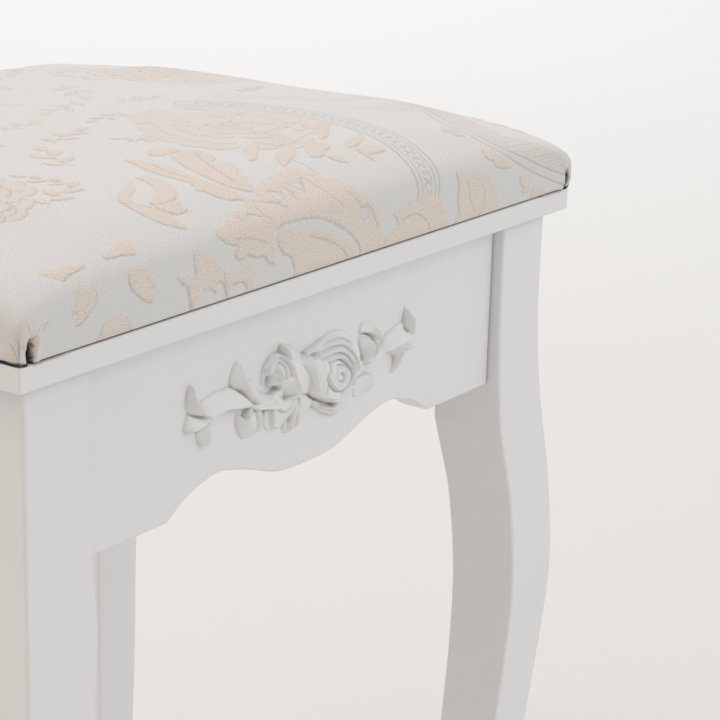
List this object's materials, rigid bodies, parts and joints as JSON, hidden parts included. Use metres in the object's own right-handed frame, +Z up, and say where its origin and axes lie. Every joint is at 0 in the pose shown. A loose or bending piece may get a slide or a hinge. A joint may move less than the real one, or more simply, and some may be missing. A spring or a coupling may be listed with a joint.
{
  "type": "upholstered vanity stool",
  "caption": "Backless dressing-table stool with a crowned damask cushion, scalloped painted aprons, a carved rose ornament and double-curved legs.",
  "frame": {"origin": "on the floor, under the middle of the seat", "axes": "+X along the front to the right as seen from the front, +Y from the front to the back, +Z up"},
  "size_m": [0.37, 0.3006, 0.45],
  "materials": {
    "white_paint": "satin white paint over solid wood and fibreboard",
    "ornament": "cast resin, painted satin white",
    "damask": "jacquard damask, grey-blue twill ground with cream raised motifs",
    "foam": "open-cell polyurethane foam",
    "fibreboard": "raw fibreboard",
    "bare_wood": "unfinished sawn beech",
    "zinc_steel": "zinc plated",
    "brass_screws": "yellow passivated steel screws",
    "glide_plastic": "moulded nylon"
  },
  "bodies": {
    "root": {"seat_board": "white_paint", "front_apron": "white_paint", "rear_apron": "white_paint", "left_apron": "white_paint", "right_apron": "white_paint", "leg_front_left": "white_paint", "leg_front_right": "white_paint", "leg_rear_left": "white_paint", "leg_rear_right": "white_paint", "cushion_cover": "damask", "cushion_foam": "foam", "cushion_panel": "fibreboard", "cover_staples": "zinc_steel", "cushion_screws": "brass_screws", "brace_front_left": "bare_wood", "brace_front_right": "bare_wood", "brace_rear_left": "bare_wood", "brace_rear_right": "bare_wood", "leg_bolts": "zinc_steel", "bolt_washers": "zinc_steel", "wing_nuts": "zinc_steel", "brace_screws": "brass_screws", "board_screws": "brass_screws", "glide_front_left": "glide_plastic", "glide_front_right": "glide_plastic", "glide_rear_left": "glide_plastic", "glide_rear_right": "glide_plastic", "rose_applique": "ornament"}
  },
  "joints": []
}
